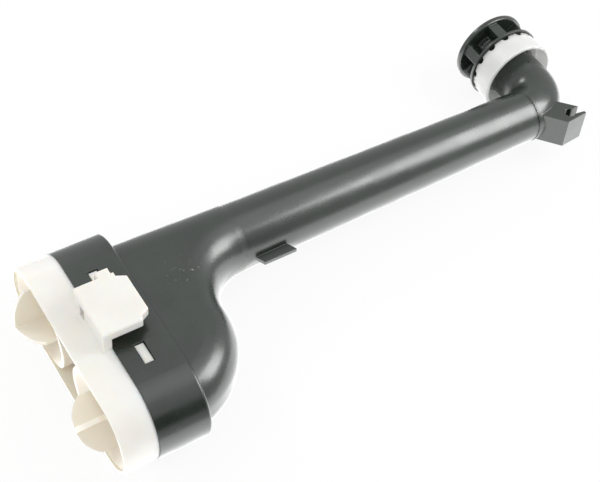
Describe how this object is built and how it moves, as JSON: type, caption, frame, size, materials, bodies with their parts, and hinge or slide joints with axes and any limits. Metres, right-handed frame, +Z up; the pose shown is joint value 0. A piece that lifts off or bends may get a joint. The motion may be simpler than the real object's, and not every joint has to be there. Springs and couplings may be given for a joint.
{
  "type": "dishwasher wash arm holder",
  "caption": "Hollow feed pipe that carries a spray arm under a dish rack: obround valve inlet with hook plate, tapered tube, elbow, flanged outlet hub and a turning ring nut.",
  "frame": {"origin": "under the middle of the whole, on the surface it lies on", "axes": "+X along the pipe from the inlet mouth to the outlet, +Y the way the outlet hub points, +Z up"},
  "size_m": [0.2618, 0.1138, 0.0434],
  "materials": {
    "anthracite_plastic": "satin moulded",
    "ivory_plastic": "satin moulded",
    "white_plastic": "satin moulded"
  },
  "bodies": {
    "holder": {"feed_pipe": "anthracite_plastic", "inlet_cap": "ivory_plastic", "outlet_hub": "anthracite_plastic"},
    "upper_valve": {"upper_valve": "ivory_plastic"},
    "lower_valve": {"lower_valve": "ivory_plastic"},
    "ring_nut": {"ring_nut": "white_plastic"}
  },
  "joints": [
    {"name": "upper_valve_slide", "type": "slide", "parent": "holder", "child": "upper_valve", "axis": [1, 0, 0], "range_m": [0, 0.007]},
    {"name": "lower_valve_slide", "type": "slide", "parent": "holder", "child": "lower_valve", "axis": [1, 0, 0], "range_m": [0, 0.007]},
    {"name": "ring_nut_turn", "type": "hinge", "parent": "holder", "child": "ring_nut", "pos_m": [0.1136, 0.0142, 0.0174], "axis": [0, 1, 0], "continuous": true}
  ]
}
